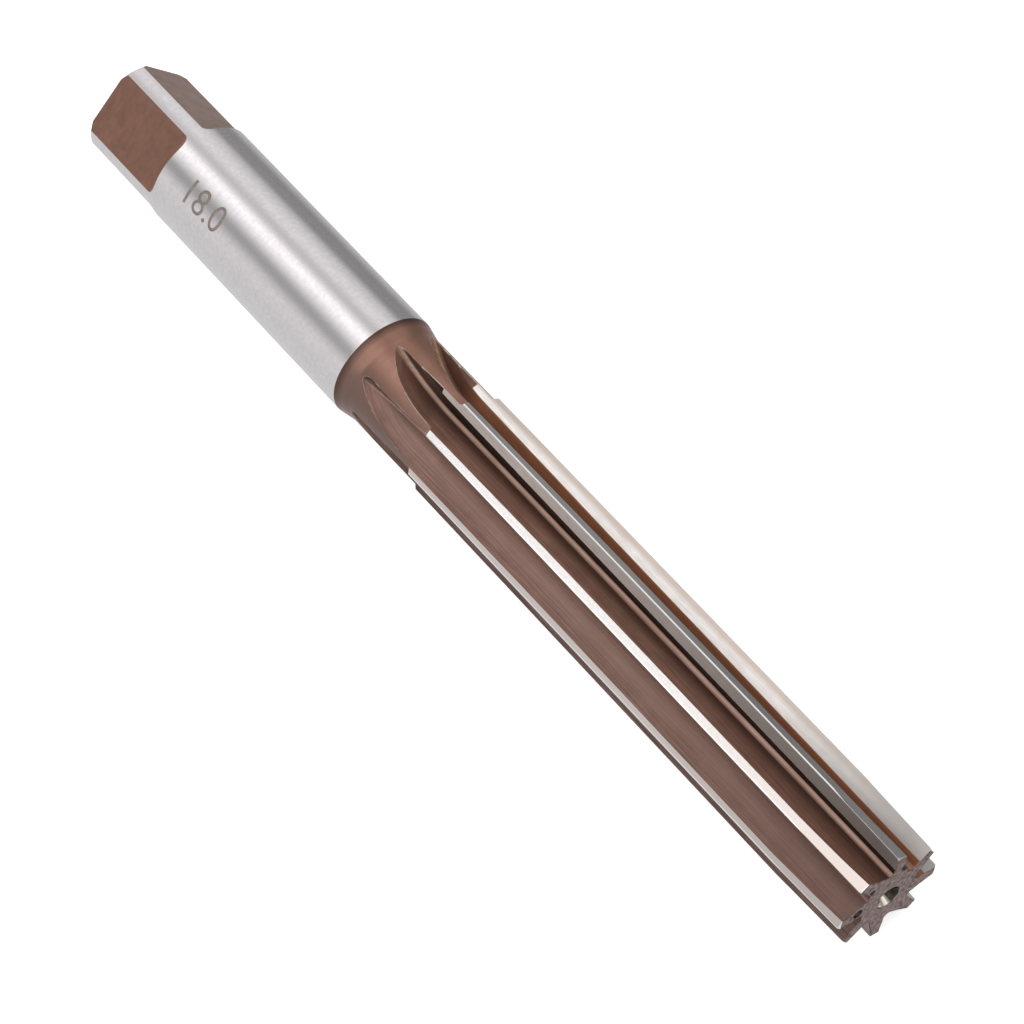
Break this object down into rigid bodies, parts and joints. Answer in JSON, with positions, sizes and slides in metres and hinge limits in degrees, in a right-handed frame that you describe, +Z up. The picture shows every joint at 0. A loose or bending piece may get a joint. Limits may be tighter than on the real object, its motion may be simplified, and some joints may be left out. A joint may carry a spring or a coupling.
{
  "type": "hand reamer",
  "caption": "Straight-fluted hand reamer of tool steel, with a bright ground shank, a driving square, a brown neck and long unequally spaced teeth.",
  "frame": {"origin": "under the middle of the tool's length, on the plane that its shank touches", "axes": "+X along the tool's axis towards its cutting end, +Z up with one flute facing the floor"},
  "size_m": [0.176, 0.018, 0.0179],
  "materials": {
    "tool_steel": "ground bright on shank, lands and cutting faces; brown heat-treatment film elsewhere"
  },
  "bodies": {
    "root": {"hand_reamer": "tool_steel"}
  },
  "joints": []
}
